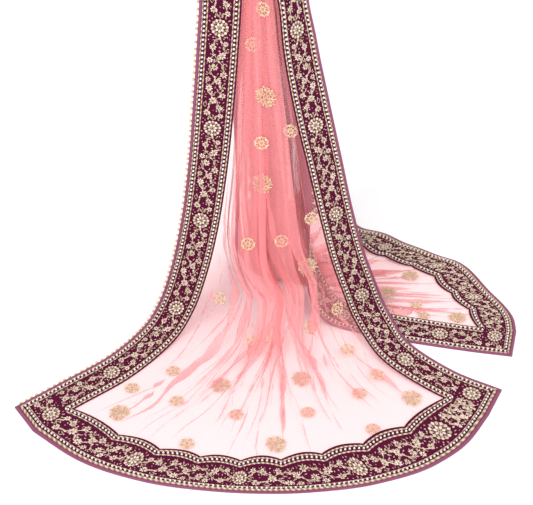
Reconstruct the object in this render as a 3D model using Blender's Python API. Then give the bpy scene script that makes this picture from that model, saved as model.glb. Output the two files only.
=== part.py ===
"""Embroidered net dupatta with velvet borders, held up by its doubled middle.

The front end hangs and fans out on the floor in front.  The back end hangs
behind it and spreads on the floor to the right.  One map carries every piece:
u runs across the cloth from its left edge, v runs along it from an end hem.
"""
import bpy
import numpy as np

# ---- cloth sizes, metres -------------------------------------------------
CLOTH_WIDTH = 1.00
SIDE_BAND = 0.070            # velvet border along each long edge
END_BAND = 0.084             # velvet border across each end, in the hollows
END_BUMP = 0.008             # what the scallops add to the end border
BUMPS = 9                    # scallops between the two side borders
PIPING_SIDE = 0.005
PIPING_END = 0.0065
NET_WALL = 0.0010
VELVET_WALL = 0.0020
PIPING_WALL = 0.0026
SEAM = 0.0003
SIDE_SEAM = 0.0006           # seams along the cloth, which twist as they hang
END_SEAM = 0.0005            # the end piping's, which bends with the hem
SCALLOP_SEAM = 0.0010        # along the cloth, 0.3 mm square to the steepest scallops
HOLD_HEIGHT = 0.774          # underside of the doubled fold above the floor
FOLD_INNER = 0.014           # radius left under the fold for what holds it
FOLD_DEPTH = 0.036           # depth of the pleats as they go over the fold
FOLD_OUTER = FOLD_INNER + FOLD_DEPTH
FRONT_LENGTH = 1.10
BACK_LENGTH = 1.16

# ---- sections of the front stretch ---------------------------------------
# along: distance from the hem.  left and right: middle of each side border,
# turn: which way its width points, degrees.  mid: front of the net half way
# across.  pleat: depth of the pleats.  face: 90 lies face up, 0 faces forward.
# spread: how much wider the pleats stand at their backs than at their fronts.
COLUMNS = ("along", "left_x", "left_y", "left_z", "left_turn",
           "right_x", "right_y", "right_z", "right_turn",
           "mid_x", "mid_y", "mid_z", "pleat", "face", "spread")
FRONT_ROWS = (
    (0.00, -0.390, -0.320, 0.0000, -56, 0.412, -0.279, 0.0000, 64, 0.000, -0.489, 0.000, 0.0005, 90, 0.00),
    (0.10, -0.315, -0.255, 0.0000, -57, 0.328, -0.227, 0.0010, 62, 0.000, -0.389, 0.000, 0.0040, 90, 0.00),
    (0.20, -0.238, -0.186, 0.0000, -52, 0.248, -0.150, 0.0075, 45, 0.002, -0.289, 0.000, 0.0130, 90, 0.00),
    (0.26, -0.198, -0.136, 0.0010, -45, 0.226, -0.100, 0.0100, 32, 0.004, -0.232, 0.000, 0.0190, 86, 0.00),
    (0.32, -0.166, -0.092, 0.0100, -34, 0.206, -0.066, 0.0300, 27, 0.008, -0.180, 0.004, 0.0260, 70, 0.00),
    (0.38, -0.140, -0.072, 0.0520, -28, 0.187, -0.060, 0.0800, 30, 0.013, -0.138, 0.028, 0.0360, 42, 0.01),
    (0.45, -0.118, -0.064, 0.1200, -25, 0.165, -0.058, 0.1450, 33, 0.017, -0.112, 0.084, 0.0440, 20, 0.02),
    (0.54, -0.098, -0.062, 0.2100, -22, 0.143, -0.060, 0.2320, 36, 0.020, -0.094, 0.175, 0.0500, 9, 0.02),
    (0.66, -0.080, -0.060, 0.3300, -19, 0.118, -0.062, 0.3480, 35, 0.018, -0.080, 0.302, 0.0540, 4, 0.03),
    (0.78, -0.068, -0.058, 0.4450, -15, 0.094, -0.060, 0.4580, 34, 0.014, -0.072, 0.428, 0.0540, 2, 0.04),
    (0.90, -0.058, -0.055, 0.5600, -16, 0.073, -0.056, 0.5670, 40, 0.009, -0.064, 0.550, 0.0520, 0, 0.05),
    (1.00, -0.051, -0.052, 0.6600, -17, 0.060, -0.052, 0.6620, 46, 0.006, -0.056, 0.656, 0.0440, 0, 0.05),
    (1.06, -0.050, -0.051, 0.7200, -6, 0.059, -0.051, 0.7200, 16, 0.004, -0.051, 0.718, 0.0380, 0, 0.05),
    (1.10, -0.050, -0.050, 0.7600, 0, 0.058, -0.050, 0.7600, 0, 0.004, -0.050, 0.760, FOLD_DEPTH, 0, 0.05),
)
# ---- sections of the back stretch, from its own hem -----------------------
BACK_ROWS = (
    (0.00, 0.154, 0.388, 0.0020, -42, 0.466, -0.125, 0.0000, -104, 0.338, 0.150, 0.000, 0.0050, 90, 0.00),
    (0.10, 0.100, 0.306, 0.0020, -43, 0.386, -0.110, 0.0000, -101, 0.250, 0.105, 0.000, 0.0110, 90, 0.00),
    (0.20, 0.046, 0.222, 0.0020, -46, 0.292, -0.088, 0.0000, -102, 0.172, 0.078, 0.000, 0.0210, 90, 0.00),
    (0.30, -0.002, 0.136, 0.0040, -56, 0.200, -0.062, 0.0000, -106, 0.102, 0.060, 0.000, 0.0280, 84, 0.00),
    (0.37, -0.024, 0.096, 0.0200, -66, 0.142, -0.036, 0.0050, -114, 0.060, 0.058, 0.010, 0.0280, 60, 0.00),
    (0.44, -0.031, 0.082, 0.0740, -76, 0.110, -0.006, 0.0420, -110, 0.038, 0.062, 0.054, 0.0300, 32, 0.00),
    (0.53, -0.035, 0.076, 0.1580, -86, 0.094, 0.020, 0.1240, -88, 0.030, 0.070, 0.138, 0.0340, 12, 0.00),
    (0.65, -0.036, 0.074, 0.2740, -88, 0.088, 0.034, 0.2420, -74, 0.026, 0.072, 0.256, 0.0380, 4, 0.00),
    (0.77, -0.038, 0.072, 0.3880, -78, 0.080, 0.042, 0.3600, -64, 0.022, 0.070, 0.372, 0.0390, 0, 0.00),
    (0.89, -0.042, 0.064, 0.5020, -52, 0.064, 0.048, 0.4800, -52, 0.014, 0.064, 0.490, 0.0390, 0, 0.01),
    (1.01, -0.047, 0.055, 0.6180, -22, 0.054, 0.051, 0.6060, -40, 0.007, 0.056, 0.610, 0.0380, 0, 0.03),
    (1.12, -0.050, 0.051, 0.7220, -4, 0.057, 0.050, 0.7180, -10, 0.004, 0.051, 0.720, 0.0360, 0, 0.05),
    (1.16, -0.050, 0.050, 0.7600, 0, 0.058, 0.050, 0.7600, 0, 0.004, 0.050, 0.760, FOLD_DEPTH, 0, 0.05),
)
# ---- how each hem swells from a straight line: share across, out x, out y --
HEM_COLUMNS = ("share", "out_x", "out_y")
FRONT_HEM = (
    (0.00, 0.000, 0.000),
    (0.10, 0.000, -0.067),
    (0.25, 0.000, -0.124),
    (0.40, 0.000, -0.151),
    (0.60, 0.000, -0.161),
    (0.75, 0.000, -0.146),
    (0.88, 0.000, -0.105),
    (0.95, 0.000, -0.058),
    (1.00, 0.000, 0.000),
)
BACK_HEM = (
    (0.00, 0.000, 0.000),
    (0.10, -0.024, -0.014),
    (0.21, -0.045, -0.026),
    (0.36, -0.020, -0.004),
    (0.54, 0.017, 0.017),
    (0.60, 0.029, 0.029),
    (0.79, 0.029, 0.019),
    (0.94, 0.018, 0.007),
    (1.00, 0.000, 0.000),
)
# ---- the pleats, left to right: room they take, share of the depth --------
PLEATS = (
    (1.10, 0.86),
    (0.92, 1.00),
    (1.04, 0.92),
    (0.90, 1.00),
    (0.94, 0.95),
    (1.10, 0.84),
)
PLEAT_SIDES = 6              # facets to a pleat
NEAR_RIPPLE = 0.16           # share of the ripples kept on the open side behind
RIPPLES_FROM = 0.30          # share across where they begin to calm
RIPPLES_TO = 0.60            # and where they have
FRONT_HEM_REACH = 0.14       # how far in from the front hem its own shape is felt
BACK_HEM_REACH = 0.28        # and from the back hem
LIES_BELOW = 0.30            # nearer a hem than this the pleats lie as ripples
HANGS_ABOVE = 0.46           # and beyond this they hang from their fronts


def column(rows, name, place, names=COLUMNS):
    """One column of a table, read smoothly at places along its first column."""
    stations = np.array([row[0] for row in rows], float)
    values = np.array([row[names.index(name)] for row in rows], float)
    slopes = np.gradient(values, stations)
    if names is COLUMNS and not name.endswith("_z"):
        slopes[-1] = 0.0
    span = np.clip(np.searchsorted(stations, place) - 1, 0, len(rows) - 2)
    step = stations[span + 1] - stations[span]
    t = (place - stations[span]) / step
    h00 = 2 * t**3 - 3 * t**2 + 1
    h10 = t**3 - 2 * t**2 + t
    h01 = 3 * t**2 - 2 * t**3
    h11 = t**3 - t**2
    return (h00 * values[span] + h10 * step * slopes[span]
            + h01 * values[span + 1] + h11 * step * slopes[span + 1])


def ease(t):
    """Smooth step from 0 to 1."""
    t = np.clip(t, 0.0, 1.0)
    return t * t * (3 - 2 * t)


def pleat_wave(share):
    """Position in the pleats: 1 at their fronts, 0 at their backs, and depth share."""
    depths = [pleat[1] for pleat in PLEATS]
    middles = (np.arange(len(PLEATS)) + 0.5) / len(PLEATS)
    return (1 + np.cos(2 * np.pi * len(PLEATS) * share)) / 2, np.interp(share, middles, depths)


def pleat_room(share):
    """Where a share of the cloth's width stands between the two borders."""
    room = np.array([pleat[0] for pleat in PLEATS])
    edges = np.concatenate([[0.0], np.cumsum(room) / room.sum()])
    return np.interp(share, np.linspace(0.0, 1.0, len(edges)), edges)


def stretch(rows, hem, forward, u, v):
    """Points of a hanging stretch; forward is +1 in front and -1 behind."""
    def read(name):
        return column(rows, name, v)

    def border(side):
        turn = np.radians(read(side + "_turn"))
        middle = np.stack([read(side + "_x"), read(side + "_y"), read(side + "_z")], -1)
        across = np.stack([np.cos(turn), np.sin(turn), np.zeros_like(turn)], -1)
        return middle, across

    left, left_across = border("left")
    right, right_across = border("right")
    inner_left = left + left_across * (SIDE_BAND / 2 + SIDE_SEAM)
    inner_right = right - right_across * (SIDE_BAND / 2 + SIDE_SEAM)
    share = np.clip((u - SIDE_BAND) / (CLOTH_WIDTH - 2 * SIDE_BAND), 0.0, 1.0)
    middle = np.stack([read("mid_x"), read("mid_y"), read("mid_z")], -1)
    bow = middle - (inner_left + inner_right) / 2
    place = pleat_room(share)
    arch = 4 * place * (1 - place)
    out_x = column(hem, "out_x", place, HEM_COLUMNS)
    out_y = column(hem, "out_y", place, HEM_COLUMNS)
    at_hem = np.stack([out_x, out_y, np.zeros_like(out_x)], -1)
    inward = ease(v / (FRONT_HEM_REACH if forward > 0 else BACK_HEM_REACH))[..., None]
    net = inner_left + (inner_right - inner_left) * place[..., None]
    net = net + at_hem * (1 - inward) + bow * arch[..., None] * inward

    wave, depth = pleat_wave(share)
    lying = ease((HANGS_ABOVE - v) / (HANGS_ABOVE - LIES_BELOW))
    ends = ease(np.minimum(share, 1 - share) * 2 * len(PLEATS))
    if forward < 0:
        kept = ease((RIPPLES_TO - share) / (RIPPLES_TO - RIPPLES_FROM))
        calm = NEAR_RIPPLE + (1 - NEAR_RIPPLE) * kept
        depth = depth * (1 - lying + lying * calm)
    reach = read("pleat") * depth * ((wave - 1) * (1 - lying) + wave * ends * lying)
    face = np.radians(read("face"))
    normal = np.stack([np.zeros_like(face), -forward * np.cos(face), np.sin(face)], -1)
    net = net + normal * reach[..., None]
    net[..., 0] += read("spread") * (share - 0.5) * (1 - wave) ** 2

    on_left = left + left_across * (u - SIDE_BAND / 2)[..., None]
    on_right = right + right_across * (u - CLOTH_WIDTH + SIDE_BAND / 2)[..., None]
    points = np.where((u <= SIDE_BAND)[..., None], on_left, net)
    points = np.where((u >= CLOTH_WIDTH - SIDE_BAND)[..., None], on_right, points)
    points[..., 2] = np.maximum(points[..., 2], 0.0)
    return points


def over_fold(u, angle):
    """Points of the doubled top; angle is 0 at the front and pi at the back."""
    share = np.clip((u - SIDE_BAND) / (CLOTH_WIDTH - 2 * SIDE_BAND), 0.0, 1.0)
    wave, depth = pleat_wave(share)
    radius = FOLD_OUTER - FOLD_DEPTH * depth * (1 - wave)
    top = stretch(FRONT_ROWS, FRONT_HEM, 1, u, np.full_like(u, FRONT_LENGTH))
    centre = FRONT_ROWS[-1][COLUMNS.index("mid_z")]
    return np.stack([top[..., 0], -radius * np.cos(angle), centre + radius * np.sin(angle)], -1)


def shell(name, surface, across, along, wall, colour, rough, facing=1):
    """A closed sheet of even wall standing on a surface read at a grid of places."""
    rows, cols = across.shape
    points = surface(across, along)
    seam = across
    for edge in (SIDE_BAND, CLOTH_WIDTH - SIDE_BAND):
        seam = np.where(np.abs(seam - edge) < NUDGE, edge, seam)
    sideways = surface(seam + NUDGE, along) - surface(seam - NUDGE, along)
    onward = surface(seam, along + NUDGE) - surface(seam, along - NUDGE)
    normal = np.cross(sideways, onward)
    normal *= facing / np.linalg.norm(normal, axis=-1, keepdims=True)
    upper = points + normal * wall
    lower = points
    verts = np.concatenate([upper.reshape(-1, 3), lower.reshape(-1, 3)])
    verts[:, 2] -= HOLD_HEIGHT
    index = np.arange(rows * cols).reshape(rows, cols)
    a, b = index[:-1, :-1].ravel(), index[:-1, 1:].ravel()
    c, d = index[1:, 1:].ravel(), index[1:, :-1].ravel()
    top = np.concatenate([np.stack([a, b, c], -1), np.stack([a, c, d], -1)])
    under = top[:, ::-1] + rows * cols
    ring = np.concatenate([index[0, :], index[1:, -1], index[-1, -2::-1], index[-2:0:-1, 0]])
    after = np.roll(ring, -1)
    below, below_after = ring + rows * cols, after + rows * cols
    rim = np.concatenate([np.stack([after, ring, below], -1),
                          np.stack([after, below, below_after], -1)])
    mesh = bpy.data.meshes.new(name)
    mesh.from_pydata(verts.tolist(), [], np.concatenate([top, under, rim])[:, ::facing].tolist())
    mesh.validate()
    mesh.shade_smooth()
    material = bpy.data.materials.new(name)
    material.use_nodes = True
    look = material.node_tree.nodes["Principled BSDF"]
    look.inputs["Base Color"].default_value = (*colour, 1.0)
    look.inputs["Roughness"].default_value = rough
    look.inputs["Metallic"].default_value = 0.0
    mesh.materials.append(material)
    body = bpy.data.objects.new(name, mesh)
    bpy.context.scene.collection.objects.link(body)
    return body


def end_edge(u):
    """How far in the end border reaches at u: hollows and scallops."""
    share = np.clip((u - SIDE_BAND) / (CLOTH_WIDTH - 2 * SIDE_BAND), 0.0, 1.0)
    return END_BAND + END_BUMP * np.abs(np.sin(np.pi * BUMPS * share)) ** 0.8


NET = (0.95, 0.36, 0.38)
VELVET = (0.115, 0.008, 0.040)
SATIN = (0.300, 0.040, 0.150)
SIDES = (("left", 0.0, 1), ("right", CLOTH_WIDTH, -1))
STRETCHES = (("front", FRONT_ROWS, FRONT_HEM, 1, FRONT_LENGTH),
             ("back", BACK_ROWS, BACK_HEM, -1, BACK_LENGTH))
BEND_END = 0.50              # by this far from a hem the cloth hangs straight
LOW_STEPS = 12               # facets along the cloth below there
HANG_STEPS = 7               # and above
FOLD_STEPS = 6               # over the doubled top
BORDER_STEPS = 2             # facets across a border
NUDGE = 0.002                # step used to read which way the surface faces
HAIR = 1e-6                  # keeps the net's edge columns off the borders


def grid(us, vs):
    """Full tables of u and v from a row of each."""
    v, u = np.meshgrid(vs, us, indexing="ij")
    return u, v


def stations(first, last):
    """Distances along: close together where the cloth bends, wider in the hang."""
    low = np.linspace(first, BEND_END, LOW_STEPS + 1)
    return np.concatenate([low, np.linspace(BEND_END, last, HANG_STEPS + 1)[1:]])


for old in list(bpy.data.objects):
    bpy.data.objects.remove(old, do_unlink=True)

net_columns = np.linspace(0.0, 1.0, len(PLEATS) * PLEAT_SIDES + 1)
band_places = SIDE_BAND + net_columns * (CLOTH_WIDTH - 2 * SIDE_BAND)
net_places = np.clip(band_places, SIDE_BAND + HAIR, CLOTH_WIDTH - SIDE_BAND - HAIR)
for label, rows, hem, forward, length in STRETCHES:
    def surface(u, v):
        return stretch(rows, hem, forward, u, v)

    def lay(name, u, v, wall, colour, rough):
        shell(name, surface, u, v, wall, colour, rough, forward)

    # the end border, across the whole width, with its corners
    outer = np.linspace(PIPING_SIDE + SIDE_SEAM, SIDE_BAND, BORDER_STEPS + 1)[:-1]
    edge_u = np.concatenate([outer, band_places, CLOTH_WIDTH - outer[::-1]])
    u, t = grid(edge_u, np.linspace(0.0, 1.0, BORDER_STEPS + 1))
    first = PIPING_END + END_SEAM
    inside = end_edge(u)
    lay("border_end_" + label, u, first + (inside - first) * t, VELVET_WALL, VELVET, 0.9)
    edge_u[0], edge_u[-1] = 0.0, CLOTH_WIDTH
    u, v = grid(edge_u, np.array([0.0, PIPING_END - END_SEAM]))
    lay("piping_end_" + label, u, v, PIPING_WALL, SATIN, 0.4)

    # the net between the borders
    rises = stations(END_BAND + SEAM, length - SEAM / 2)
    u, t = grid(net_places, (rises - rises[0]) / (rises[-1] - rises[0]))
    first = end_edge(u) + SCALLOP_SEAM
    lay("net_" + label, u, first + (length - SEAM / 2 - first) * t, NET_WALL, NET, 0.7)

    # the side borders and their piping
    for side, start, inward in SIDES:
        us = np.sort(start + inward * np.array([PIPING_SIDE + SIDE_SEAM, SIDE_BAND]))
        u, v = grid(np.linspace(us[0], us[1], BORDER_STEPS + 1), rises)
        lay(f"border_{side}_{label}", u, v, VELVET_WALL, VELVET, 0.9)
        vs = np.concatenate([np.linspace(PIPING_END + SEAM, END_BAND, BORDER_STEPS + 1), rises[1:]])
        us = np.sort(start + inward * np.array([0.0, PIPING_SIDE]))
        u, v = grid(us, vs)
        lay(f"piping_{side}_{label}", u, v, PIPING_WALL, SATIN, 0.4)

# the doubled top
gap = SEAM / 2 / FOLD_OUTER
angles = np.linspace(gap, np.pi - gap, FOLD_STEPS + 1)
u, angle = grid(net_places, angles)
shell("net_top", over_fold, u, angle, NET_WALL, NET, 0.7)
for side, start, inward in SIDES:
    us = np.sort(start + inward * np.array([PIPING_SIDE + SIDE_SEAM, SIDE_BAND]))
    u, angle = grid(np.linspace(us[0], us[1], BORDER_STEPS + 1), angles)
    shell("border_" + side + "_top", over_fold, u, angle, VELVET_WALL, VELVET, 0.9)
    us = np.sort(start + inward * np.array([0.0, PIPING_SIDE]))
    u, angle = grid(us, angles)
    shell("piping_" + side + "_top", over_fold, u, angle, PIPING_WALL, SATIN, 0.4)
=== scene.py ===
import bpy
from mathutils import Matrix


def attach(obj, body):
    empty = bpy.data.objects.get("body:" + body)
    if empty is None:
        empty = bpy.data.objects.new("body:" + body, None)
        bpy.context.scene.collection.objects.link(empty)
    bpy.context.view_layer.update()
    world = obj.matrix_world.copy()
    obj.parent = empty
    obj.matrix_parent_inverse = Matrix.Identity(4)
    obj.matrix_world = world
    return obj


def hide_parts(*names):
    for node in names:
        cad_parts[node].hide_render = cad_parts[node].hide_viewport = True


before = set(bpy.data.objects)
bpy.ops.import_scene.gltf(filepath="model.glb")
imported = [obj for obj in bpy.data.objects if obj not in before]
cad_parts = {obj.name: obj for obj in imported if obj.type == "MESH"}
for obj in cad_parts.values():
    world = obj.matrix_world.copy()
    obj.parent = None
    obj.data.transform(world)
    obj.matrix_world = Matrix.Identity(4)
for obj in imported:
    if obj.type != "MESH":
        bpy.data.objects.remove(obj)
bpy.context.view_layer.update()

import math
import bpy
import numpy as np

rng = np.random.default_rng(17)
print("stage: frame loaded")

cloth = dict(width=1.0, side=0.070, end=0.084, bump=0.008, bumps=9, floor=-0.774,
             front=1.10, back=1.16, fold=0.050, foldZ=0.760, seam=0.0003)
cloth["net"] = cloth["width"] - 2 * cloth["side"]
cloth["total"] = cloth["front"] + math.pi * cloth["fold"] + cloth["back"]

# along, left border x y z turn, right border x y z turn, middle of the net x y z, depth, face
frontRows = np.array([
    (0.00, -0.390, -0.320, 0.0000, -56, 0.412, -0.279, 0.0000, 64, 0.000, -0.489, 0.000, 0.0005, 90),
    (0.10, -0.315, -0.255, 0.0000, -57, 0.328, -0.227, 0.0010, 62, 0.000, -0.389, 0.000, 0.0020, 90),
    (0.20, -0.238, -0.186, 0.0000, -52, 0.248, -0.150, 0.0075, 45, 0.002, -0.289, 0.000, 0.0060, 90),
    (0.26, -0.198, -0.136, 0.0010, -45, 0.226, -0.100, 0.0100, 32, 0.004, -0.232, 0.000, 0.0110, 86),
    (0.32, -0.166, -0.092, 0.0100, -34, 0.206, -0.066, 0.0300, 27, 0.008, -0.180, 0.004, 0.0180, 70),
    (0.38, -0.140, -0.072, 0.0520, -28, 0.187, -0.060, 0.0800, 30, 0.013, -0.138, 0.028, 0.0280, 42),
    (0.45, -0.118, -0.064, 0.1200, -25, 0.165, -0.058, 0.1450, 33, 0.017, -0.112, 0.084, 0.0380, 20),
    (0.54, -0.098, -0.062, 0.2100, -22, 0.143, -0.060, 0.2320, 36, 0.020, -0.094, 0.175, 0.0450, 9),
    (0.66, -0.080, -0.060, 0.3300, -19, 0.118, -0.062, 0.3480, 35, 0.018, -0.080, 0.302, 0.0500, 4),
    (0.78, -0.068, -0.058, 0.4450, -15, 0.094, -0.060, 0.4580, 34, 0.014, -0.072, 0.428, 0.0500, 2),
    (0.90, -0.058, -0.055, 0.5600, -16, 0.073, -0.056, 0.5670, 40, 0.009, -0.064, 0.550, 0.0480, 0),
    (1.00, -0.051, -0.052, 0.6600, -17, 0.060, -0.052, 0.6620, 46, 0.006, -0.056, 0.656, 0.0420, 0),
    (1.06, -0.050, -0.051, 0.7200, -6, 0.059, -0.051, 0.7200, 16, 0.004, -0.051, 0.718, 0.0380, 0),
    (1.10, -0.050, -0.050, 0.7600, 0, 0.058, -0.050, 0.7600, 0, 0.004, -0.050, 0.760, 0.0360, 0)])
backRows = np.array([
    (0.00, 0.154, 0.388, 0.0020, -42, 0.466, -0.125, 0.0000, -104, 0.338, 0.150, 0.000, 0.0040, 90),
    (0.10, 0.100, 0.306, 0.0020, -43, 0.386, -0.110, 0.0000, -101, 0.250, 0.105, 0.000, 0.0095, 90),
    (0.20, 0.046, 0.222, 0.0020, -46, 0.292, -0.088, 0.0000, -102, 0.172, 0.078, 0.000, 0.0200, 90),
    (0.30, -0.002, 0.136, 0.0040, -56, 0.200, -0.062, 0.0000, -106, 0.102, 0.060, 0.000, 0.0280, 84),
    (0.37, -0.024, 0.096, 0.0200, -66, 0.142, -0.036, 0.0050, -114, 0.060, 0.058, 0.010, 0.0280, 60),
    (0.44, -0.031, 0.082, 0.0740, -76, 0.110, -0.006, 0.0420, -110, 0.038, 0.062, 0.054, 0.0300, 32),
    (0.53, -0.035, 0.076, 0.1580, -86, 0.094, 0.020, 0.1240, -88, 0.030, 0.070, 0.138, 0.0340, 12),
    (0.65, -0.036, 0.074, 0.2740, -88, 0.088, 0.034, 0.2420, -74, 0.026, 0.072, 0.256, 0.0380, 4),
    (0.77, -0.038, 0.072, 0.3880, -78, 0.080, 0.042, 0.3600, -64, 0.022, 0.070, 0.372, 0.0390, 0),
    (0.89, -0.042, 0.064, 0.5020, -52, 0.064, 0.048, 0.4800, -52, 0.014, 0.064, 0.490, 0.0390, 0),
    (1.01, -0.047, 0.055, 0.6180, -22, 0.054, 0.051, 0.6060, -40, 0.007, 0.056, 0.610, 0.0380, 0),
    (1.12, -0.050, 0.051, 0.7220, -4, 0.057, 0.050, 0.7180, -10, 0.004, 0.051, 0.720, 0.0360, 0),
    (1.16, -0.050, 0.050, 0.7600, 0, 0.058, 0.050, 0.7600, 0, 0.004, 0.050, 0.760, 0.0360, 0)])
# share across, how far the hem swells in x and y
frontHem = np.array([(0, 0, 0), (0.1, 0, -0.067), (0.25, 0, -0.124), (0.4, 0, -0.151), (0.6, 0, -0.161),
                     (0.75, 0, -0.146), (0.88, 0, -0.105), (0.95, 0, -0.058), (1, 0, 0)])
backHem = np.array([(0, 0, 0), (0.10, -0.024, -0.014), (0.21, -0.045, -0.026), (0.36, -0.020, -0.004),
                    (0.54, 0.017, 0.017), (0.60, 0.029, 0.029), (0.79, 0.029, 0.019), (0.94, 0.018, 0.007),
                    (1, 0, 0)])
# share of the depth, lean of the pleat's back in metres
pleats = np.array([(0.70, 0.016), (1.00, 0.036), (0.92, 0.024), (1.00, -0.030), (0.95, -0.026),
                   (0.80, -0.012)])
# where the pleats lie as ripples, where they hang, how far in each hem's own shape is felt
hangSet = dict(lies=0.30, hangs=0.46, frontReach=0.14, backReach=0.28, calm=0.12)


def ease(t):  # 3t² - 2t³ between 0 and 1
    t = np.clip(t, 0, 1)
    return t * t * (3 - 2 * t)


def read(rows, col, v, flatEnd=True):  # cubic Hermite through the column, slopes by central differences
    x, y = rows[:, 0], rows[:, col]
    m = np.gradient(y, x)
    if flatEnd:
        m[-1] = 0
    i = np.clip(np.searchsorted(x, v) - 1, 0, len(x) - 2)
    h = x[i + 1] - x[i]
    t = (v - x[i]) / h
    return ((2 * t**3 - 3 * t**2 + 1) * y[i] + (t**3 - 2 * t**2 + t) * h * m[i]
            + (3 * t**2 - 2 * t**3) * y[i + 1] + (t**3 - t**2) * h * m[i + 1])


def edges(rows, v):  # centre lines of the two borders, their directions across, and the net's own two edges
    side = cloth["side"]
    out = []
    for c, inward in ((1, 1), (5, -1)):
        turn = np.radians(read(rows, c + 3, v))
        centre = np.stack([read(rows, c, v), read(rows, c + 1, v), read(rows, c + 2, v, False)], -1)
        across = np.stack([np.cos(turn), np.sin(turn), 0 * turn], -1)
        out += [centre, across, centre + inward * across * side / 2]
    return out


def crowding(rows, front):  # layers = 1 + m·lump, m set so that the mean of 1/layers = room / cut width
    v, share = np.meshgrid(np.linspace(0, rows[-1, 0], 81), np.linspace(0, 1, 241), indexing="ij")
    a, b = [edges(rows, v[:, 0])[i] for i in (2, 5)]
    room = np.linalg.norm(b - a, axis=-1) * (1.14 - 0.14 * ease(v[:, 0] / 0.3)) / cloth["net"]
    lump = np.ones_like(v)
    if front:
        lump -= (1 - ease((v - 0.44) / 0.16)) * (1 - ease((share - 0.05) / 0.13))
        onFloor = 1 - ease((v - 0.34) / 0.14)
        lump *= 1 - onFloor * 0.45 * (1 - np.exp(-((share - 0.52) / 0.34) ** 2))
        hung = ease((v - 0.42) / 0.12)
        lump *= 1 - hung * (0.30 + 0.30 * np.sin(13 * share + 5 * v - 1.0)) * ease((share - 0.12) / 0.1)
    else:
        middle = np.exp(-((share - 0.38) / 0.20) ** 2) * ease((0.60 - v) / 0.15) * ease((v - 0.10) / 0.12)
        lump *= 0.34 + 0.66 * middle + 0.7 * ease((v - 0.45) / 0.15)
    lump = np.clip(lump, 0.02, 1)
    low, high = np.zeros(len(v)), np.full(len(v), 900.0)
    for _ in range(40):
        m = (low + high) / 2
        wide = (1 / (1 + m[:, None] * lump)).mean(1) > room
        low, high = np.where(wide, m, low), np.where(wide, high, m)
    layers = 1 + m[:, None] * lump
    step = (1 / layers[:, 1:] + 1 / layers[:, :-1]) / 2
    place = np.concatenate([0 * step[:, :1], np.cumsum(step, 1)], 1)
    return layers, place / place[:, -1:]


def lookup(table, y, x):  # bilinear read, both places from 0 to 1
    y, x = np.clip(y, 0, 1) * (table.shape[0] - 1), np.clip(x, 0, 1) * (table.shape[1] - 1)
    i, j = np.minimum(y.astype(int), table.shape[0] - 2), np.minimum(x.astype(int), table.shape[1] - 2)
    y, x = y - i, x - j
    return ((1 - y) * ((1 - x) * table[i, j] + x * table[i, j + 1])
            + y * ((1 - x) * table[i + 1, j] + x * table[i + 1, j + 1]))


crowd = {1: crowding(frontRows, True), -1: crowding(backRows, False)}
foldSet = dict(cycles=(9, 17, 31), size=(0.0150, 0.0075, 0.0035), phase=(0.4, 2.1, 0.9), wander=0.006)


def foldShift(share, v, forward):  # Σ size·swell·sin(2π·cycles·(share + wander·sin))
    out = 0 * share
    for n, size, phase in zip(foldSet["cycles"], foldSet["size"], foldSet["phase"]):
        phase = phase + 1.7 * (forward < 0)
        drift = foldSet["wander"] * np.sin(5.5 * v + 3 * phase + 6 * share)
        swell = 0.75 + 0.25 * np.sin(14 * share + 4 * v + 3 * phase)
        out = out + size * swell * np.sin(2 * np.pi * n * (share + drift) + phase)
    return out


def pleatShape(share):  # wave = ((1 + cos 2πns)/2)^0.8; depth and lean read between pleats
    n = len(pleats)
    mids = (np.arange(n) + 0.5) / n
    wave = (1 + np.cos(2 * np.pi * n * share)) / 2
    return wave ** 0.8, np.interp(share, mids, pleats[:, 0]), np.interp(share, mids, pleats[:, 1])


def spread(rows, hem, v, place):  # the net's envelope: chord + swell·(1 - inward) + bow·4p(1 - p)·inward
    reach = hangSet["frontReach" if hem is frontHem else "backReach"]
    a, b = [edges(rows, v)[i] for i in (2, 5)]
    mid = np.stack([read(rows, 9, v), read(rows, 10, v), read(rows, 11, v, False)], -1)
    swell = np.stack([read(hem, 1, place, False), read(hem, 2, place, False), 0 * place], -1)
    inward = ease(v / reach)[..., None]
    arch = (4 * place * (1 - place))[..., None]
    return a + (b - a) * place[..., None] + swell * (1 - inward) + (mid - (a + b) / 2) * arch * inward, b - a


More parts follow.
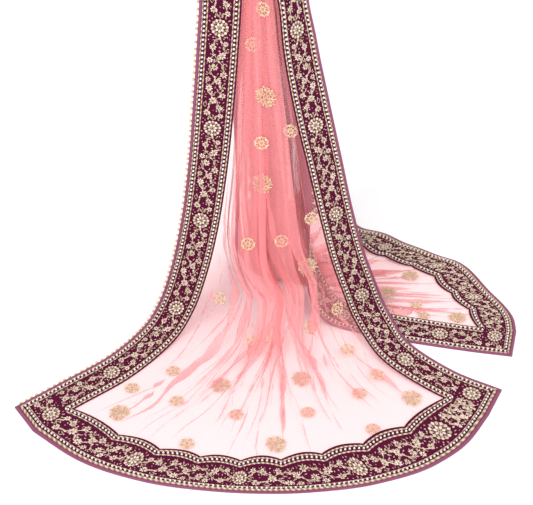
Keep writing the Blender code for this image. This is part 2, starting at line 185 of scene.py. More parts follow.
def hanging(rows, hem, forward, u, v):  # borders straight; net = envelope - normal·depth·(1 - wave) + folds
    width, side, n = cloth["width"], cloth["side"], len(pleats)
    left, leftWay, a, right, rightWay, b = edges(rows, v)
    share = np.clip((u - side) / cloth["net"], 0, 1)
    layers, place = [lookup(t, v / rows[-1, 0], share) for t in crowd[forward]]
    net, chord = spread(rows, hem, v, place)
    wave, deep, lean = pleatShape(share)
    lying = 1 - ease((v - hangSet["lies"]) / (hangSet["hangs"] - hangSet["lies"]))
    ends = ease(np.minimum(share, 1 - share) * 2 * n)
    if forward < 0:
        calm = hangSet["calm"]
        deep = deep * (1 - lying + lying * (calm + (1 - calm) * ease((0.60 - share) / 0.30)))
    reach = read(rows, 12, v) * deep * ((wave - 1) * (1 - lying) + wave * ends * lying)
    face = np.radians(read(rows, 13, v))
    net = net + np.stack([0 * face, -forward * np.cos(face), np.sin(face)], -1) * reach[..., None]
    net[..., 0] += 0.04 * (share - 0.5) * (1 - wave) ** 2 * ease((v - 0.6) / 0.4)
    wide = np.linalg.norm(chord, axis=-1, keepdims=True)
    grown = ease((v - 0.08) / (0.16 if forward > 0 else 0.08))
    slide = foldShift(share, v, forward) * (1 - 1 / layers) * grown
    slide *= 1 - 0.45 * (1 - ease((v - 0.24) / 0.16)) if forward > 0 else 2.0
    slide += lean * ease((v - 0.20) / 0.25) * (1 - wave)
    close = ease(np.minimum(share, 1 - share) * 30) * (1 - (2 * place - 1) ** 6)
    net = net + chord / wide * (slide * close)[..., None]
    out = np.where((u <= side)[..., None], left + leftWay * (u - side / 2)[..., None], net)
    out = np.where((u >= width - side)[..., None], right + rightWay * (u - width + side / 2)[..., None], out)
    return out


def overFold(u, angle):  # radius = outer - depth·(1 - wave) about the fold's axis
    top = hanging(frontRows, frontHem, 1, u, np.full_like(u, cloth["front"]))
    r = -top[..., 1]
    return np.stack([top[..., 0], -r * np.cos(angle), cloth["foldZ"] + r * np.sin(angle)], -1)


def drape(u, s):  # the whole cloth: s runs from the front hem over the fold to the back hem
    u, s = np.broadcast_arrays(np.asarray(u, float), np.asarray(s, float))
    out = np.zeros(u.shape + (3,))
    f, t = cloth["front"], cloth["total"] - cloth["back"]
    for part, mask in (("front", s <= f), ("top", (s > f) & (s < t)), ("back", s >= t)):
        if mask.any():
            if part == "front":
                out[mask] = hanging(frontRows, frontHem, 1, u[mask], s[mask])
            elif part == "back":
                out[mask] = hanging(backRows, backHem, -1, u[mask], cloth["total"] - s[mask])
            else:
                out[mask] = overFold(u[mask], (s[mask] - f) / cloth["fold"])
    out[..., 2] = np.maximum(out[..., 2], 0) + cloth["floor"]
    return out


def raised(u, s, h, step=0.0015):  # drape + h·unit(∂u × ∂s)
    u, s, h = np.broadcast_arrays(np.asarray(u, float), np.asarray(s, float), np.asarray(h, float))
    n = np.cross(drape(u + step, s) - drape(u - step, s), drape(u, s + step) - drape(u, s - step))
    n /= np.linalg.norm(n, axis=-1, keepdims=True) + 1e-12
    return drape(u, s) + n * h[..., None]


def endEdge(u):  # end + bump·|sin πn·share|^0.8
    share = np.clip((u - cloth["side"]) / (cloth["width"] - 2 * cloth["side"]), 0, 1)
    return cloth["end"] + cloth["bump"] * np.abs(np.sin(np.pi * cloth["bumps"] * share)) ** 0.8


def makeMesh(name, verts, faces, mats, slots=None, uv=None, tint=None, smooth=True):
    verts, faces = np.asarray(verts, float).reshape(-1, 3), np.asarray(faces, np.int32)
    count, sides = faces.shape
    mesh = bpy.data.meshes.new(name)
    mesh.vertices.add(len(verts))
    mesh.vertices.foreach_set("co", verts.ravel())
    mesh.loops.add(count * sides)
    mesh.loops.foreach_set("vertex_index", faces.ravel())
    mesh.polygons.add(count)
    mesh.polygons.foreach_set("loop_start", np.arange(count, dtype=np.int32) * sides)
    for m in mats:
        mesh.materials.append(m)
    if slots is not None:
        mesh.polygons.foreach_set("material_index", np.asarray(slots, np.int32))
    mesh.update(calc_edges=True)
    mesh.validate()
    if uv is not None:
        layer = mesh.uv_layers.new(name="UVMap")
        layer.data.foreach_set("uv", np.asarray(uv, float).reshape(-1, 2)[faces.ravel()].ravel())
    if tint is not None:
        attr = mesh.attributes.new("tint", "FLOAT", "POINT")
        attr.data.foreach_set("value", np.asarray(tint, float).ravel())
    mesh.polygons.foreach_set("use_smooth", np.full(count, smooth))
    obj = bpy.data.objects.new(name, mesh)
    bpy.context.scene.collection.objects.link(obj)
    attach(obj, "root")
    return obj


def gridFaces(rows, cols, flip=False):
    i = np.arange(rows * cols).reshape(rows, cols)
    f = np.stack([i[:-1, :-1], i[:-1, 1:], i[1:, 1:], i[1:, :-1]], -1).reshape(-1, 4)
    return f[:, ::-1] if flip else f


def material(name, colour, rough, metal=0.0, **more):
    m = bpy.data.materials.new(name)
    m.use_nodes = True
    p = m.node_tree.nodes["Principled BSDF"]
    p.inputs["Base Color"].default_value = (*colour, 1)
    p.inputs["Roughness"].default_value = rough
    p.inputs["Metallic"].default_value = metal
    for key, value in more.items():
        socket = p.inputs[key.replace("_", " ")]
        socket.default_value = (*value, 1) if isinstance(value, tuple) else value
    return m


def rampColour(mat, source, stops):  # base colour read from the source, through stops of place and colour
    tree = mat.node_tree
    ramp = tree.nodes.new("ShaderNodeValToRGB")
    elements = ramp.color_ramp.elements
    elements[0].color = (*stops[0][1], 1)
    elements[1].color = (*stops[-1][1], 1)
    for place, colour in stops[1:-1]:
        elements.new(place).color = (*colour, 1)
    tree.links.new(source, ramp.inputs["Fac"])
    tree.links.new(ramp.outputs["Color"], tree.nodes["Principled BSDF"].inputs["Base Color"])


def tintOf(mat):
    tint = mat.node_tree.nodes.new("ShaderNodeAttribute")
    tint.attribute_name = "tint"
    return tint.outputs["Fac"]


netMat = material("pinkNet", (1.0, 0.375, 0.395), 0.8, Alpha=0.28)
velvetMat = material("maroonVelvet", (0.078, 0.003, 0.026), 0.95, Specular_IOR_Level=0.12, Sheen_Weight=0.05,
                     Sheen_Roughness=0.35, Sheen_Tint=(0.60, 0.12, 0.30))
satinMat = material("plumSatin", (0.235, 0.042, 0.116), 0.40)
backMat = material("plumBacking", (0.230, 0.050, 0.150), 0.6)
pearlMat = material("pearl", (0.82, 0.77, 0.72), 0.18, Coat_Weight=0.6)
beadMat = material("goldBead", (0.72, 0.55, 0.33), 0.35, 0.3)
zariMat = material("zari", (0.62, 0.50, 0.36), 0.42, 0.35)
zariStops = ((0, (0.22, 0.13, 0.09)), (0.5, (0.52, 0.39, 0.28)), (1, (0.82, 0.70, 0.57)))
rampColour(zariMat, tintOf(zariMat), zariStops)
motifMat = material("motifGold", (0.60, 0.45, 0.30), 0.5, 0.1)
rampColour(motifMat, tintOf(motifMat), ((0, (0.44, 0.23, 0.13)), (1, (0.90, 0.69, 0.48))))
cordMat = material("goldCord", (0.60, 0.47, 0.33), 0.5, 0.1)
twistGrooveShade = cordMat.node_tree.nodes.new("ShaderNodeTexWave")  # the cord's twist as painted light and shade: slanting bands along its own UV, dark where painted shade stands for the grooves between strands
twistGrooveShade.bands_direction = "DIAGONAL"
twistGrooveShade.inputs["Scale"].default_value = 60
cordUv = cordMat.node_tree.nodes.new("ShaderNodeUVMap")
cordMat.node_tree.links.new(cordUv.outputs["UV"], twistGrooveShade.inputs["Vector"])
# the dark stop is painted shade in the twist's grooves, the light stop the gold of the strands
rampColour(cordMat, twistGrooveShade.outputs["Fac"], ((0, (0.24, 0.14, 0.08)), (1, (0.70, 0.57, 0.42))))
print("stage: materials")


# the net: thin wrinkles run in from the hem and down the hang; soft folds as u, low v, high v, width
tuckSet = dict(count=120, width=0.0030, fold=0.0046, rise=0.0006, backFold=2.3,
               soft=((0.565, 0.09, 0.50, 0.022), (0.400, 0.12, 0.48, 0.020), (0.480, 0.10, 0.42, 0.012),
                     (0.660, 0.13, 0.55, 0.018), (0.300, 0.16, 0.55, 0.016), (0.220, 0.10, 0.50, 0.014),
                     (0.740, 0.12, 0.50, 0.013), (0.830, 0.12, 0.60, 0.014), (0.620, 0.10, 0.36, 0.012)))


def tuckTable(front):  # u at the low end, u at the high end, low and high v, width, fold
    rows = []
    n = tuckSet["count"]
    spots = (np.arange(n) + rng.uniform(0.0, 1.0, n)) / n
    for x in spots:
        u0, lo = 0.085 + 0.83 * x, rng.uniform(0.06, 0.26)
        size = rng.uniform(0.5, 1.15) ** 1.5 * (2.4 if rng.uniform() < 0.16 else 1)
        u1, hi = u0 + rng.uniform(-0.07, 0.07), lo + rng.uniform(0.15, 0.7)
        fold = tuckSet["fold"] * size * rng.uniform(0.7, 1.2) * (1 if front else tuckSet["backFold"])
        rows.append((u0, u1, lo, hi, tuckSet["width"] * size, fold))
    if front:
        rows += [(u0, u0 + 0.01, 0.25 + 0.2 * (k % 3) / 3, 0.66 + 0.03 * (k % 5), 0.0026, 0.0044)
                 for k, u0 in enumerate(np.linspace(0.082, 0.19, 13))]
        rows += [(u0, 0.5 + (u0 - 0.5) * 0.8, lo, hi, w * 0.8, w * 0.8) for u0, lo, hi, w in tuckSet["soft"]]
    return rows


def tucked(u, v, table):  # u - 1.65·fold·(d/w)·exp(-d²/2w²), lifted by rise·tanh(d/w)
    shift, rise = 0 * u, 0 * u
    for u0, u1, lo, hi, w, k in table:
        t = (v - lo) / (hi - lo)
        size = np.sqrt(np.clip(np.sin(np.pi * np.clip(t, 0, 1)), 0, 1))
        d = (u - (u0 + (u1 - u0) * t + 0.006 * np.sin(7 * t + 40 * u0))) / w
        shift -= k * size * 1.65 * d * np.exp(-d * d / 2)
        rise += tuckSet["rise"] * size * np.tanh(d) * np.exp(-d * d / 9)
    edge = ease(np.minimum(u - cloth["side"], cloth["width"] - cloth["side"] - u) / 0.03)
    return u + shift * edge, rise * edge


netSet = dict(frontCols=470, frontRows=206, backCols=430, backRows=150, topRows=14)
side, width, total = cloth["side"], cloth["width"], cloth["total"]
for name, nodes in (("netFront", ["net_front"]), ("netBack", ["net_top", "net_back"])):
    front = name == "netFront"
    cols, count = netSet["frontCols" if front else "backCols"], netSet["frontRows" if front else "backRows"]
    length = cloth["front" if front else "back"]
    t, u = np.meshgrid(np.linspace(0, 1, count), np.linspace(side, width - side, cols), indexing="ij")
    v = endEdge(u) + (length - endEdge(u)) * t
    folded, rise = tucked(u, v, tuckTable(front))
    s = v if front else total - v
    if not front:
        over = np.linspace(total - cloth["back"], cloth["front"], netSet["topRows"])[1:, None]
        u = np.concatenate([u, np.broadcast_to(u[:1], (len(over), cols))])
        s = np.concatenate([s, np.broadcast_to(over, (len(over), cols))])
        folded, rise = [np.concatenate([x, y]) for x, y in ((folded, u[count:]), (rise, 0 * u[count:]))]
    inside = np.clip(folded, side + 1e-6, width - side - 1e-6)
    net = makeMesh(name, raised(inside, s, 0.0006 + rise), gridFaces(len(u), cols, not front), [netMat],
                   uv=np.stack([u, s], -1))
    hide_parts(*nodes)
    rowLength = np.linalg.norm(np.diff(drape(inside[::25], s[::25]), axis=1), axis=-1).sum(1)
    print("stage:", name, len(net.data.polygons) * 2, "row lengths", np.round(rowLength / cloth["net"], 2))


def shellOf(name, u, s, thick, upper, under):  # two skins, drape + thick·n and drape, with a rim
    rows, cols = u.shape
    top, low = raised(u, s, thick), raised(u, s, 0.0)
    f = gridFaces(rows, cols)
    i = np.arange(rows * cols).reshape(rows, cols)
    ring = np.concatenate([i[0, :], i[1:, -1], i[-1, -2::-1], i[-2:0:-1, 0]])
    after = np.roll(ring, -1)
    rim = np.stack([after, ring, ring + rows * cols, after + rows * cols], -1)
    slots = np.concatenate([np.zeros(len(f)), np.ones(len(f)), np.zeros(len(rim))])
    uv = np.stack([u, s], -1).reshape(-1, 2)
    return makeMesh(name, np.concatenate([top.reshape(-1, 3), low.reshape(-1, 3)]),
                    np.concatenate([f, f[:, ::-1] + rows * cols, rim]), [upper, under], slots,
                    np.concatenate([uv, uv]))


velvetSet = dict(thick=0.0017, across=9, step=0.008, pipe=0.005, endPipe=0.0065, pipeThick=0.0024, gap=0.0002)
for label, inward, start in (("left", 1, 0.0), ("right", -1, width)):
    a = np.linspace(velvetSet["pipe"], side, velvetSet["across"])
    s = np.linspace(cloth["end"], total - cloth["end"], int(total / velvetSet["step"]))
    uu = np.sort(start + inward * a)
    s2, u2 = np.meshgrid(s, uu, indexing="ij")
    band = shellOf("velvet_" + label, u2, s2, velvetSet["thick"], velvetMat, backMat)
    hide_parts(*[f"border_{label}_{x}" for x in ("front", "top", "back")])
    pipeS = np.linspace(velvetSet["endPipe"], total - velvetSet["endPipe"], int(total / velvetSet["step"]))
    pipeU = np.sort(start + inward * np.linspace(0, velvetSet["pipe"] - velvetSet["gap"], 4))
    s2, u2 = np.meshgrid(pipeS, pipeU, indexing="ij")
    pipe = shellOf("piping_" + label, u2, s2, velvetSet["pipeThick"], satinMat, satinMat)
    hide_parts(*[f"piping_{label}_{x}" for x in ("front", "top", "back")])
for label, back in (("front", False), ("back", True)):
    uu = np.concatenate([np.linspace(velvetSet["pipe"], side, 7)[:-1], np.linspace(side, width - side, 145),
                         np.linspace(width - side, width - velvetSet["pipe"], 7)[1:]])
    t2, u2 = np.meshgrid(np.linspace(0, 1, 12), uu, indexing="ij")
    v2 = velvetSet["endPipe"] + (endEdge(u2) - velvetSet["endPipe"]) * t2
    s2 = total - v2[::-1] if back else v2
    band = shellOf("velvet_end_" + label, u2, s2, velvetSet["thick"], velvetMat, backMat)
    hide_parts("border_end_" + label)
    cut = float((endEdge(uu) - velvetSet["endPipe"]).mean()) * (width - 2 * velvetSet["pipe"])
    if label == "front":
        endEdge(uu).max() - velvetSet["endPipe"]
    pipeV = np.linspace(0, velvetSet["endPipe"] - velvetSet["gap"], 4)
    v2, u2 = np.meshgrid(pipeV, np.linspace(0, width, 161), indexing="ij")
    s2 = total - v2[::-1] if back else v2
    pipe = shellOf("piping_end_" + label, u2, s2, velvetSet["pipeThick"], satinMat, satinMat)
    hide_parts("piping_end_" + label)
print("stage: velvet and piping")


# one repeat of the embroidery, drawn flat in millimetres: x along the border, y in from its outer edge
def ribbon(points, wide, high, tone, taper=0.25):
    points = np.asarray(points, float)
    steps = np.concatenate([[0], np.cumsum(np.hypot(*np.diff(points, axis=0).T))])
    t = np.linspace(0, steps[-1], 6)
    path = np.stack([np.interp(t, steps, points[:, 0]), np.interp(t, steps, points[:, 1])], -1)
    x = np.linspace(0, 1, 6)
    return path, wide * (taper + (1 - taper) * np.sin(np.pi * x) ** 0.6), high, tone


def petal(x, y, angle, length, wide, high=0.9, tone=0.8, start=0.0):
    r = np.linspace(start, start + length, 6)
    return ribbon(np.stack([x + r * math.cos(angle), y + r * math.sin(angle)], -1), wide, high, tone, 0.12)


def arc(x, y, radius, a0, a1, wide, high, tone):
    a = np.linspace(a0, a1, 6)
    return ribbon(np.stack([x + radius * np.cos(a), y + radius * np.sin(a)], -1), wide, high, tone, 0.9)


def rosette(x, y, size):
    out = []
    for k in range(14):
        turn = 2 * math.pi * k / 14
        out.append(petal(x, y, turn, size * 0.17, size * 0.15, 1.1, 0.62 + 0.3 * (k % 2), size * 0.33))
        out.append(petal(x, y, turn + 0.22, size * 0.07, size * 0.05, 0.8, 0.25, size * 0.40))
    for k in range(7):
        out.append(arc(x, y, size * 0.31, 2 * math.pi * k / 7, 2 * math.pi * (k + 1) / 7, 0.9, 1.2, 0.30))
        out.append(petal(x, y, 2 * math.pi * (k + 0.5) / 7, size * 0.18, size * 0.14, 1.3, 0.95, size * 0.10))
    for k in range(4):
        out.append(arc(x, y, size * 0.065, math.pi * k / 2, math.pi * (k + 1) / 2, 1.7, 1.6, 0.40))
    return out


def daisy(x, y, size, turn=0.0, tone=0.9, count=7):
    out = [petal(x, y, turn + 2 * math.pi * k / count, size * 0.37, size * 0.22, 1.1, tone, size * 0.13)
           for k in range(count)]
    return out + [petal(x - size * 0.09, y, 0, size * 0.18, size * 0.18, 1.5, 0.3)]


def curl(x, y, turn, length, bend, wide, tone):
    r = np.linspace(0, length, 6)
    path = np.stack([x + r * np.cos(turn + bend * r / length), y + r * np.sin(turn + bend * r / length)], -1)
    return ribbon(path, wide, 0.9, tone, 0.15)


def spiral(x, y, radius, turn, hand, tone=0.6):
    out = []
    for k in range(2):
        a = np.linspace(k * 2.4, (k + 1) * 2.4, 6)
        r = radius * (1 - 0.15 * a)
        path = np.stack([x + r * np.cos(turn + hand * a), y + r * np.sin(turn + hand * a)], -1)
        out.append(ribbon(path, 1.1, 1.0, tone, 0.8))
    return out


bandSet = dict(repeat=190.0, low=15.5, high=57.0, rosette=31.0, stems=26, fillAlong=27, fillAcross=5)


def floralRepeat():
    low, high, mid = bandSet["low"], bandSet["high"], (bandSet["low"] + bandSet["high"]) / 2
    out = rosette(0, mid, bandSet["rosette"])
    first, last = 17, bandSet["repeat"] - 17
    for phase in (0, math.pi):  # two stems cross and part: y = mid + 11 sin(4πt + phase)
        t = np.linspace(0, 1, 51)
        xs, ys = first + (last - first) * t, mid + 11 * np.sin(4 * math.pi * t + phase)
        for i in range(0, 50, 5):
            out.append(ribbon(np.stack([xs[i:i + 6], ys[i:i + 6]], -1), 1.0, 1.0, 0.6, 0.9))
        for k in range(bandSet["stems"]):
            t = (k + 0.5) / bandSet["stems"]
            x, y = first + (last - first) * t, mid + 11 * math.sin(4 * math.pi * t + phase)
            tangent = math.atan2(44 * math.pi * math.cos(4 * math.pi * t + phase), last - first)
            hand = 1 if k % 2 else -1
            out.append(curl(x, y, tangent + hand * rng.uniform(0.7, 1.2), rng.uniform(5, 7.5), -hand * 0.6,
                            rng.uniform(1.8, 2.6), rng.uniform(0.35, 0.95)))
    # along, off the middle, size
    spots = ((30, -12, 12), (42, 8, 11), (55, -3, 14), (66, 13, 11), (78, -11, 13), (92, 3, 12),
             (95, -14, 10), (106, 12, 13), (118, -4, 12), (131, -13, 11), (141, 7, 14), (155, -9, 12),
             (163, 12, 10), (26, 12, 10))
    for x, dy, size in spots:
        out += daisy(x, mid + dy, size, rng.uniform(0, 0.9), rng.uniform(0.7, 1.0))
    # along, off the middle, hand, radius
    spirals = ((47, -15, 1, 4.2), (84, 14, -1, 4), (124, 14, 1, 4.2), (150, 16, -1, 3.8), (70, -2, -1, 3.8),
               (108, -15, 1, 4))
    for x, dy, hand, r in spirals:
        out += spiral(x, mid + dy, r, rng.uniform(0, 6), hand)
    taken = np.array([(x, mid + dy, size * 0.5 + 1) for x, dy, size in spots] + [(0, mid, 17.5)])
    for i in range(bandSet["fillAlong"]):  # comma buds in what is left between
        for j in range(bandSet["fillAcross"]):
            x = 14 + (bandSet["repeat"] - 28) * (i + rng.uniform(0.15, 0.85)) / bandSet["fillAlong"]
            y = low + 2.5 + (high - low - 5) * (j + rng.uniform(0.1, 0.9)) / bandSet["fillAcross"]
            if (np.hypot(taken[:, 0] - x, taken[:, 1] - y) > taken[:, 2]).all():
                turn = rng.uniform(0, 2 * math.pi)
                room = 2.2 if min(y - low, high - y) < 4 else 4.6
                out.append(curl(x - 1.5 * math.cos(turn), y - 1.5 * math.sin(turn), turn,
                                rng.uniform(2.2, room), rng.uniform(-1, 1), rng.uniform(1.2, 2.1),
                                rng.uniform(0.15, 0.95)))
    for k in range(20):  # small leaves round the rosette
        turn = 2 * math.pi * (k + 0.5) / 20
        if abs(math.sin(turn)) < 0.9:
            out.append(petal(18.5 * math.cos(turn), mid + 18.5 * math.sin(turn), turn + 0.5, 3.4, 1.9, 0.9,
                             rng.uniform(0.3, 0.8)))
    return out


def pack(items):
    return (np.array([i[0] for i in items]) / 1000, np.array([i[1] for i in items]) / 1000,
            np.array([i[2] for i in items]) / 1000, np.array([i[3] for i in items]))


def stitch(name, shapes, put, mat):  # edges = path ± normal·width/2, spine lifted by height
    path, wide, high, tone = shapes
    d = np.gradient(path, axis=1)
    n = np.stack([-d[..., 1], d[..., 0]], -1) / (np.linalg.norm(d, axis=-1, keepdims=True) + 1e-9)
    flat = np.stack([path - n * wide[..., None] / 2, path, path + n * wide[..., None] / 2], 2)
    lift = np.zeros(flat.shape[:3])
    lift[:, :, 1] = high[:, None] * (0.35 + 0.65 * wide / wide.max(axis=1, keepdims=True))
    verts, flip = put(flat[..., 0], flat[..., 1], lift)
    r, k = flat.shape[:2]
    faces = (gridFaces(k, 3, not flip)[None] + (np.arange(r) * k * 3)[:, None, None]).reshape(-1, 4)
    return makeMesh(name, verts, faces, [mat], tint=np.repeat(tone, k * 3))


floral = pack(floralRepeat())
print("stage: one repeat has", len(floral[0]), "stitched shapes")


def tile(starts, low, high):  # repeats at the starts, what lies between two rosettes squeezed into the gap
    path, wide, high0, tone = floral
    starts = np.asarray(starts, float)
    gaps = np.append(np.diff(starts), bandSet["repeat"] / 1000)
    own = bandSet["rosette"] / 2000 + 0.006
    between = path[..., 0].mean(1) > own
    along = path[None, ..., 0] + 0 * starts[:, None, None]
    squeeze = ((gaps - 2 * own) / (bandSet["repeat"] / 1000 - 2 * own))[:, None, None]
    along = np.where(between[None, :, None], own + (along - own) * squeeze, along) + starts[:, None, None]
    every = np.stack([along, np.broadcast_to(path[None, ..., 1], along.shape)], -1)
    every = every.reshape(-1, *path.shape[1:])
    k = len(starts)
    tone = np.clip(np.tile(tone, k) + rng.uniform(-0.15, 0.15, k * len(tone)), 0, 1)
    keep = (every[:, :, 0].min(1) > low) & (every[:, :, 0].max(1) < high)
    return every[keep], np.tile(wide, (k, 1))[keep], np.tile(high0, k)[keep], tone[keep]


trim = []
velvetTop = velvetSet["thick"] + 0.0001
# first rosette on each long border, every rosette on each end border, the ends' embroidery between two insets
rowSet = dict(left=0.180, right=0.172, front=(-0.13, 0.055, 0.235, 0.455, 0.700, 0.875, 0.965),
              back=(-0.13, 0.05, 0.23, 0.41, 0.59, 0.77, 0.95), outer=0.022, inner=0.016, clear=0.070,
              endClear=0.014)
for label in ("left", "right"):
    def put(x, y, h, label=label):  # u = y or width - y, s = x
        return raised(y if label == "left" else width - y, x, h + velvetTop), label == "right"
    starts = np.arange(rowSet[label] - bandSet["repeat"] / 1000, total - 0.06, bandSet["repeat"] / 1000)
    shapes = tile(starts, rowSet["clear"], total - rowSet["clear"])
    trim.append(stitch("embroidery_" + label, shapes, put, zariMat))
for label in ("front", "back"):
    def put(x, y, h, label=label):  # u = x, v stretched between the outer inset and the scalloped edge
        share = (y * 1000 - bandSet["low"]) / (bandSet["high"] - bandSet["low"])
        y = rowSet["outer"] + share * (endEdge(x) - rowSet["inner"] - rowSet["outer"])
        return raised(x, total - y if label == "back" else y, h + velvetTop), label == "front"
    shapes = tile(rowSet[label], rowSet["endClear"], width - rowSet["endClear"])
    trim.append(stitch("embroidery_end_" + label, shapes, put, zariMat))
print("stage: embroidery", [len(o.data.polygons) * 2 for o in trim])


# motifs on the net: small flowers and fans of them, each flat on the net's front
motifSet = dict(veil=0.006, lift=0.0016, fan=(0.78, 0.92), backSize=0.85)
# place across the net, distance from the hem, kind: 0 small, 1 large
frontMotifs = np.array([
    (0.59, 0.83, 1), (0.85, 0.48, 1), (0.09, 0.12, 1), (0.33, 0.25, 1), (0.56, 0.11, 1), (0.70, 0.245, 1),
    (0.955, 0.115, 1), (0.46, 0.67, 1), (0.64, 0.98, 0), (0.34, 0.92, 0), (0.47, 0.75, 0), (0.90, 0.75, 0),
    (0.31, 0.56, 0), (0.65, 0.56, 0), (0.94, 0.57, 0), (0.13, 0.43, 0), (0.10, 0.25, 0), (0.20, 0.19, 0),
    (0.04, 0.18, 0), (0.31, 0.105, 0), (0.43, 0.18, 0), (0.57, 0.37, 0), (0.44, 0.37, 0), (0.80, 0.36, 0),
    (0.95, 0.36, 0), (0.92, 0.26, 0), (0.95, 0.18, 0), (0.86, 0.165, 0), (0.68, 0.165, 0), (0.82, 0.10, 0)])
backMotifs = np.array([
    (0.63, 0.12, 1), (0.74, 0.19, 1), (0.95, 0.12, 1), (0.86, 0.17, 0), (0.96, 0.18, 0), (0.95, 0.25, 0),
    (0.50, 0.26, 0), (0.28, 0.13, 1), (0.12, 0.20, 0), (0.30, 0.30, 0), (0.50, 0.45, 1), (0.25, 0.60, 0),
    (0.70, 0.72, 0), (0.40, 0.86, 1), (0.60, 1.00, 0)])


def smallMotif():
    out = daisy(0, 0, 14, 0.2, 0.55, 8)
    for k in range(10):
        turn = 2 * math.pi * k / 10
        out.append(petal(0, 0, turn, 5.4, 4.6, 1.0, 0.30 + 0.35 * (k % 2), 7.2))
        out.append(petal(0, 0, turn + 0.31, 3.6, 2.4, 1.0, 0.75, 9.8))
    return out


def largeMotif():
    wide, tall = motifSet["fan"]
    out = []
    spots = ((0, -13, 12), (-9, -5, 12), (9, -5, 12), (0, 4, 13), (-15, 5, 11), (15, 6, 11), (-8, 14, 12),
             (8, 15, 11))
    for x, y, size in spots:
        out += daisy(x * wide, y * tall, size, 0.3 * x, 0.40 + 0.05 * (x % 5), 7)
    for k in range(36):
        turn, far = 2.4 * k, 19 * math.sqrt((k + 6) / 42)
        x, y = far * wide * math.cos(turn), 2 + far * tall * math.sin(turn)
        out.append(petal(x, y, turn + 0.5, 4.6, 2.4, 0.9, 0.20 + 0.3 * (k % 3)))
    return out


def onNet(rows, hem, back, table, kind):  # world = envelope(p, v) + x·unit ∂p + y·(n × ∂p) + (h + lift)·n
    table = table[table[:, 2] == kind]
    step = 0.004

    def at(p, v):
        point = spread(rows, hem, v, p)[0]
        point[..., 2] = np.maximum(point[..., 2], 0.0006) + cloth["floor"]
        return point
    p, v = table[:, 0], table[:, 1]
    way = at(p + step, v) - at(p - step, v)
    way /= np.linalg.norm(way, axis=-1, keepdims=True)
    n = np.cross(way, at(p, v + step) - at(p, v - step)) * (-1 if back else 1)
    n /= np.linalg.norm(n, axis=-1, keepdims=True)
    up = np.cross(n, way)
    spot = at(p, v) - n * (motifSet["veil"] * ease((v - 0.3) / 0.1) * (np.arange(len(p)) % 2))[:, None]
    turn = rng.uniform(-0.5, 0.5, len(table))[:, None]
    way, up = way * np.cos(turn) + up * np.sin(turn), up * np.cos(turn) - way * np.sin(turn)

    def put(x, y, h):
        pairs = ((way, x), (up, y), (n, h + motifSet["lift"]))
        parts = [a[:, None, None, None, :] * b[None, ..., None] for a, b in pairs]
        return spot[:, None, None, None, :] + parts[0] + parts[1] + parts[2]
    return put, len(table)


def motifs(name, rows, hem, back, table):
    for kind, draw in ((0, smallMotif), (1, largeMotif)):
        put, count = onNet(rows, hem, back, table, kind)
        if not count:
            continue
        path, wide, high, tone = pack(draw())
        path = path * (motifSet["backSize"] if back else 1)
        one = len(path)

        def putAll(x, y, h):
            return put(x[:one], y[:one], h[:one]), False
        shapes = (np.tile(path, (count, 1, 1)), np.tile(wide, (count, 1)), np.tile(high, count),
                  np.tile(tone, count))
        trim.append(stitch(f"{name}_{kind}", shapes, putAll, motifMat))


motifs("motifsFront", frontRows, frontHem, False, frontMotifs)
motifs("motifsBack", backRows, backHem, True, backMotifs)
print("stage: motifs")


# pearls: an eight-sided dome of two rings and a cap, set in rows
pearlSet = dict(radius=0.0021, pitch=0.0078, sides=((0.01025, 0.0165), (0.06225, 0.072)),
                outer=(0.0165, 0.018), inner=0.0095, picot=0.0115, picotRadius=0.0027, picotOut=0.0028)
turns = np.arange(8) * math.pi / 4
rings = [np.stack([np.cos(turns) * r, np.sin(turns) * r, 0 * turns + z], -1)
         for r, z in ((0.95, 0.15), (0.86, 0.95), (0.45, 1.55))]
domeVerts = np.concatenate(rings + [[(0, 0, 1.75)]])
around, following = np.arange(8), (np.arange(8) + 1) % 8
walls = np.concatenate([np.stack([around, following, following + 8], -1) + 8 * j for j in (0, 1)])
walls2 = np.concatenate([np.stack([around, following + 8, around + 8], -1) + 8 * j for j in (0, 1)])
domeFaces = np.concatenate([walls, walls2, np.stack([16 + around, 16 + following, 0 * around + 24], -1)])


def beads(name, u, s, radius, base, mat):  # each bead = centre + radius·(x ∂u + y ∂s + z n)
    step = 0.001
    du, ds = drape(u + step, s) - drape(u - step, s), drape(u, s + step) - drape(u, s - step)
    du /= np.linalg.norm(du, axis=-1, keepdims=True) + 1e-12
    n = np.cross(du, ds)
    n /= np.linalg.norm(n, axis=-1, keepdims=True) + 1e-12
    ds = np.cross(n, du)
    c = drape(u, s) + n * base
    frames = np.stack([du, ds, n], 1)
    v = c[:, None] + radius * (domeVerts @ frames)
    faces = (domeFaces[None] + (np.arange(len(u)) * len(domeVerts))[:, None, None]).reshape(-1, 3)
    return makeMesh(name, v, faces, [mat])


def evenly(u, s, pitch):  # places a pitch apart by the length of the draped path
    way = np.linalg.norm(np.diff(drape(u, s), axis=0), axis=-1)
    reach = np.concatenate([[0], np.cumsum(way)])
    at = np.arange(0, reach[-1], pitch)
    return np.stack([np.interp(at, reach, u), np.interp(at, reach, s)], -1)


rowsOfPearls = []
for inset, low in pearlSet["sides"]:  # inset from the long edge, first place along it
    path = np.linspace(low, total - low, 2000)
    for uu in (0 * path + inset, 0 * path + width - inset):
        rowsOfPearls.append(evenly(uu, path, pearlSet["pitch"]))
inset, low = pearlSet["outer"]
uIn = np.linspace(low, width - low, 1200)
uMid = np.linspace(side - 0.004, width - side + 0.004, 1200)
for back in (False, True):
    for uu, v in ((uIn, 0 * uIn + inset), (uMid, endEdge(uMid) - pearlSet["inner"])):
        rowsOfPearls.append(evenly(uu, total - v if back else v, pearlSet["pitch"]))
spots = np.concatenate(rowsOfPearls)
trim.append(beads("pearls", spots[:, 0], spots[:, 1], pearlSet["radius"], velvetTop, pearlMat))
picot = np.arange(0.012, total - 0.012, pearlSet["picot"])
trim.append(beads("picotBeads", 0 * picot - pearlSet["picotOut"], picot + 0.0012 * np.sin(97 * picot),
                  pearlSet["picotRadius"], 0.0, beadMat))
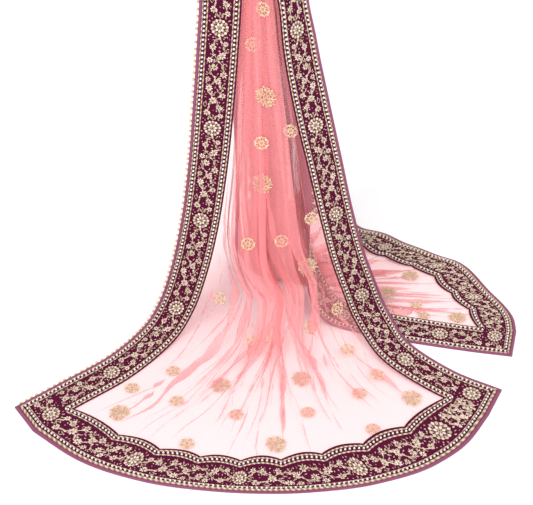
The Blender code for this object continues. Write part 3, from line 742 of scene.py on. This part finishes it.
print("stage: pearls", len(spots), "and", len(picot), "picot beads")


def cordLine(u, s, wide):  # five points across, raised wide·0.6·cos πk
    d = np.stack([np.gradient(u), np.gradient(s)], -1)
    n = np.stack([-d[:, 1], d[:, 0]], -1) / (np.linalg.norm(d, axis=-1, keepdims=True) + 1e-9)
    k = np.linspace(-0.5, 0.5, 5)
    uu, ss = u[:, None] + n[:, :1] * k * wide, s[:, None] + n[:, 1:] * k * wide
    lift = velvetTop + wide * 0.6 * np.cos(np.pi * k)[None] * np.ones_like(uu)
    along = np.concatenate([[0], np.cumsum(np.hypot(np.diff(u), np.diff(s)))])
    uv = np.stack([np.broadcast_to(along[:, None], uu.shape), np.broadcast_to(k * wide, uu.shape)], -1)
    return raised(uu, ss, lift).reshape(-1, 3), gridFaces(len(u), 5, True), uv.reshape(-1, 2)


cordSet = dict(wide=0.0023, step=0.010, endStep=0.005,
               sides=((0.0063, 0.0076), (0.0142, 0.0190), (0.0582, 0.0720), (0.0664, 0.0800)),
               outer=((0.0100, 0.0055, 0.0052), (0.0205, 0.0130, 0.0023)), inner=(0.0136, 0.0046))
lines = []
for inset, low in cordSet["sides"]:  # inset from the long edge, first place along it
    s = np.linspace(low, total - low, int(total / cordSet["step"]))
    lines += [(0 * s + inset, s, cordSet["wide"]), (0 * s + width - inset, s, cordSet["wide"])]
ends = []
for inset, low, wide in cordSet["outer"]:  # inset from the hem, first place across, width
    uu = np.linspace(low, width - low, int(width / cordSet["endStep"]))
    ends.append((uu, 0 * uu + inset, wide))
for inset in cordSet["inner"]:
    uu = np.linspace(side - 0.004, width - side + 0.004, int(width / cordSet["endStep"]))
    ends.append((uu, endEdge(uu) - inset, cordSet["wide"]))
for uu, v, wide in ends:
    lines += [(uu, v, wide), (uu, total - v, wide)]
cords, offset = [[], [], []], 0
for u, s, w in lines:
    v, f, uv = cordLine(u, s, w)
    cords[0].append(v)
    cords[1].append(f + offset)
    cords[2].append(uv)
    offset += len(v)
cordVerts, cordFaces, cordUvs = [np.concatenate(part) for part in cords]
trim.append(makeMesh("goldCords", cordVerts, cordFaces, [cordMat], uv=cordUvs))
print("stage: cords", len(trim[-1].data.polygons) * 2)

studioSet = dict(floor=8.0, world=0.92, key=60, fill=32, lens=94.56, sensor=36, stand=-2.04, eye=1.65,
                 tilt=53)
floorMesh = bpy.data.meshes.new("floor")
size = studioSet["floor"]
corners = [(-size, -size, 0), (size, -size, 0), (size, size, 0), (-size, size, 0)]
floorMesh.from_pydata(corners, [], [(0, 1, 2, 3)])
floor = bpy.data.objects.new("floor", floorMesh)
floor.location.z = cloth["floor"] - 0.0005
bpy.context.scene.collection.objects.link(floor)
floorMesh.materials.append(material("paleFloor", (0.95, 0.95, 0.95), 0.9, Specular_IOR_Level=0.1))

world = bpy.data.worlds.new("studio")
bpy.context.scene.world = world
world.use_nodes = True
background = world.node_tree.nodes["Background"]
background.inputs["Color"].default_value = (1, 1, 1, 1)
background.inputs["Strength"].default_value = studioSet["world"]


def softLight(name, where, target, energy, size):
    data = bpy.data.lights.new(name, "AREA")
    data.energy, data.size = energy, size
    lamp = bpy.data.objects.new(name, data)
    lamp.location = where
    d = np.array(target) - np.array(where)
    tilt = math.atan2(math.hypot(d[0], d[1]), -d[2])
    lamp.rotation_euler = (tilt, 0, math.atan2(d[1], d[0]) - math.pi / 2)
    bpy.context.scene.collection.objects.link(lamp)


softLight("key", (-1.4, -2.2, 2.0), (0, 0, -0.4), studioSet["key"], 1.6)
softLight("fill", (1.8, -1.6, 1.6), (0, 0, -0.4), studioSet["fill"], 1.8)

camData = bpy.data.cameras.new("camera")
camData.lens, camData.sensor_width = studioSet["lens"], studioSet["sensor"]
camera = bpy.data.objects.new("camera", camData)
camera.location = (0.02, studioSet["stand"], studioSet["eye"] + cloth["floor"])
camera.rotation_euler = (math.radians(studioSet["tilt"]), 0, 0)
bpy.context.scene.collection.objects.link(camera)
bpy.context.scene.camera = camera
scene = bpy.context.scene
scene.view_settings.view_transform = "Standard"
scene.cycles.transparent_max_bounces = 96

print("stage: done")
